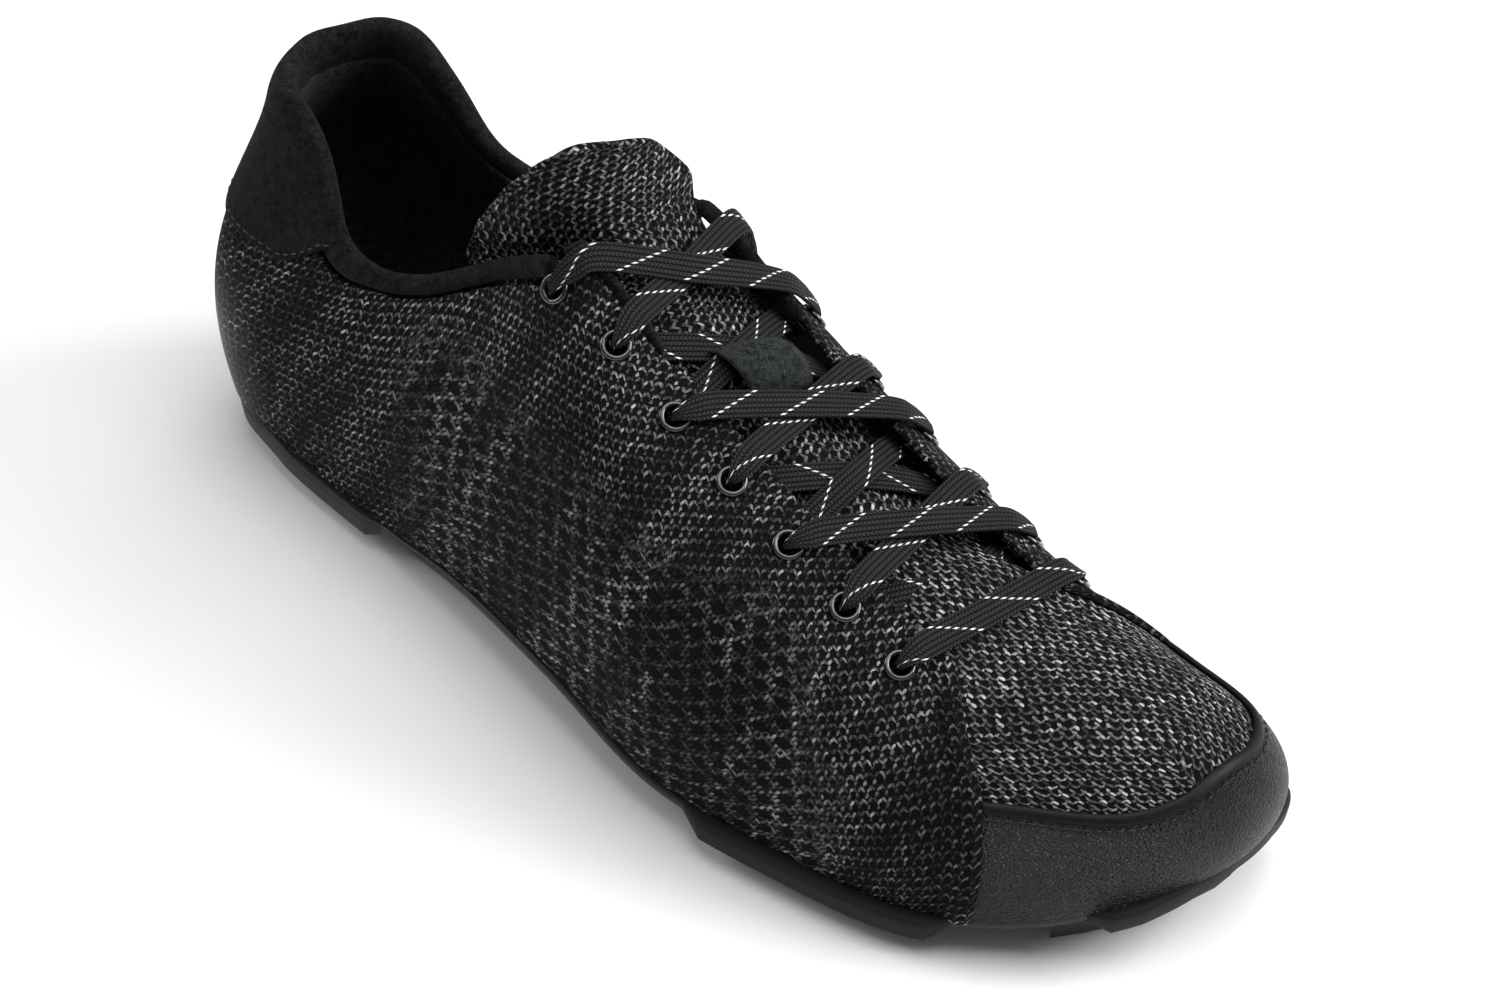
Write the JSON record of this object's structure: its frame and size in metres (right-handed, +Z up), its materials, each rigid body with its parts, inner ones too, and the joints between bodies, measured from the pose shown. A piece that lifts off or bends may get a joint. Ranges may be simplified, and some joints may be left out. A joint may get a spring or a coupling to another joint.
{
  "type": "lace-up knit cycling shoe",
  "caption": "Right-foot low-cut cycling shoe with a knitted upper, flat lacing, suede collar, toe cap, stiff sole plate, rubber treads and a sliding cleat plate.",
  "frame": {"origin": "centre of the bounding box, at its bottom face, the ground under the treads", "axes": "+X from heel to toe, +Y to the wearer's left (the inner, medial side), +Z up"},
  "size_m": [0.2798, 0.0918, 0.1281],
  "materials": {
    "fine_knit": "dense two-tone heather knit",
    "knit": "open heather knit, near black with light grey flecks",
    "cap_microfibre": "fine-grained satin black microfibre",
    "suede": "brushed black synthetic suede",
    "reflective_strip": "dark reflective tape",
    "lining": "black mesh lining",
    "stiffener": "thermoformed stiffener sheet",
    "foam": "soft black foam with fabric face",
    "nubuck": "dark grey-green nubuck",
    "eyestay_tape": "woven reinforcing tape",
    "black_metal": "gloss black enamel",
    "lace": "flat braided charcoal lace with small white reflective threads",
    "aglet": "clear-black shrunk tip",
    "board": "fibre insole board",
    "footbed": "fabric-topped foam",
    "plate": "satin black nylon and carbon composite",
    "tread_rubber": "firm black tread rubber",
    "steel": "plain steel",
    "seal_film": "adhesive seal"
  },
  "bodies": {
    "upper": {"vamp": "fine_knit", "lateral_quarter": "knit", "medial_quarter": "knit", "toe_cap": "cap_microfibre", "heel_panel": "suede", "heel_strip": "reflective_strip", "collar": "suede", "facing_binding": "suede", "vamp_lining": "lining", "quarter_lining": "lining", "heel_counter": "stiffener", "toe_puff": "stiffener", "tongue": "fine_knit", "tongue_pad": "foam", "lace_keeper": "nubuck", "lateral_eyestay": "eyestay_tape", "medial_eyestay": "eyestay_tape", "lateral_eyelets": "black_metal", "medial_eyelets": "black_metal", "lateral_washers": "black_metal", "medial_washers": "black_metal", "lace": "lace", "aglets": "aglet", "insole_board": "board", "footbed": "footbed", "outsole": "plate", "heel_tread": "tread_rubber", "lateral_tread": "tread_rubber", "medial_tread": "tread_rubber", "toe_tread": "tread_rubber", "tread_screws": "steel", "cleat_seal": "seal_film"},
    "tongue_top": {"tongue_top": "fine_knit", "tongue_top_pad": "foam"},
    "cleat_plate": {"cleat_plate": "steel"}
  },
  "joints": [
    {"name": "tongue_top_bend", "type": "hinge", "parent": "upper", "child": "tongue_top", "pos_m": [-0.0245, 0.006, 0.1035], "axis": [0, 1, 0], "range_deg": [-3, 12], "stiffness_Nm_per_rad": 0.4},
    {"name": "cleat_plate_slide", "type": "slide", "parent": "upper", "child": "cleat_plate", "axis": [1, 0, 0], "range_m": [-0.008, 0.008]}
  ]
}
